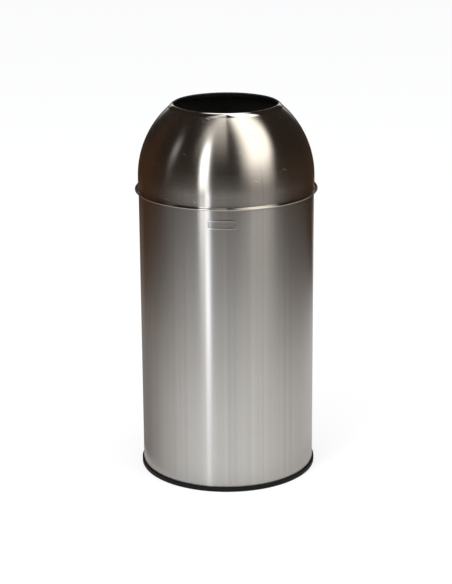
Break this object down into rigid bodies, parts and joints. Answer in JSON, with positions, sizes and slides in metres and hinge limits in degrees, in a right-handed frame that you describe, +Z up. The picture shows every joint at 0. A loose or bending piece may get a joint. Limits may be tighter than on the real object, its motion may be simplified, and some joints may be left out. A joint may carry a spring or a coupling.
{
  "type": "waste receptacle",
  "caption": "Round free-standing waste receptacle: brushed steel body on a black base ring, lift-off dome lid open at the top, and a lift-out liner bucket with a bail.",
  "frame": {"origin": "on the floor, at the centre of the base", "axes": "+Z up along the body's axis; -Y is the front; the bail lies towards +Y and turns about an axis along X"},
  "size_m": [0.3648, 0.3648, 0.7547],
  "materials": {
    "body_steel": "brushed round the body",
    "dome_steel": "fine brushed, throat band polished, inside black",
    "galvanised": "galvanised sheet",
    "moulded": "fine texture"
  },
  "bodies": {
    "bin": {"body_shell": "body_steel", "base_pan": "galvanised", "base_ring": "moulded"},
    "lid": {"dome_shell": "dome_steel", "lid_seat_ring": "galvanised"},
    "liner": {"liner_shell": "galvanised", "liner_bottom": "galvanised", "liner_rim_wire": "galvanised", "ear_right": "galvanised", "ear_left": "galvanised", "ear_rivets": "galvanised"},
    "bail": {"bail_handle": "galvanised"}
  },
  "joints": [
    {"name": "lid_lift", "type": "slide", "parent": "bin", "child": "lid", "axis": [0, 0, 1], "range_m": [0, 1.2]},
    {"name": "liner_lift", "type": "slide", "parent": "bin", "child": "liner", "axis": [0, 0, 1], "range_m": [0, 0.6]},
    {"name": "bail_swing", "type": "hinge", "parent": "liner", "child": "bail", "pos_m": [0, 0, 0.5708], "axis": [1, 0, 0], "range_deg": [0, 180]}
  ],
  "couplings": [
    {"joint": "liner_lift", "follows": "lid_lift", "ratio": 0.5}
  ]
}
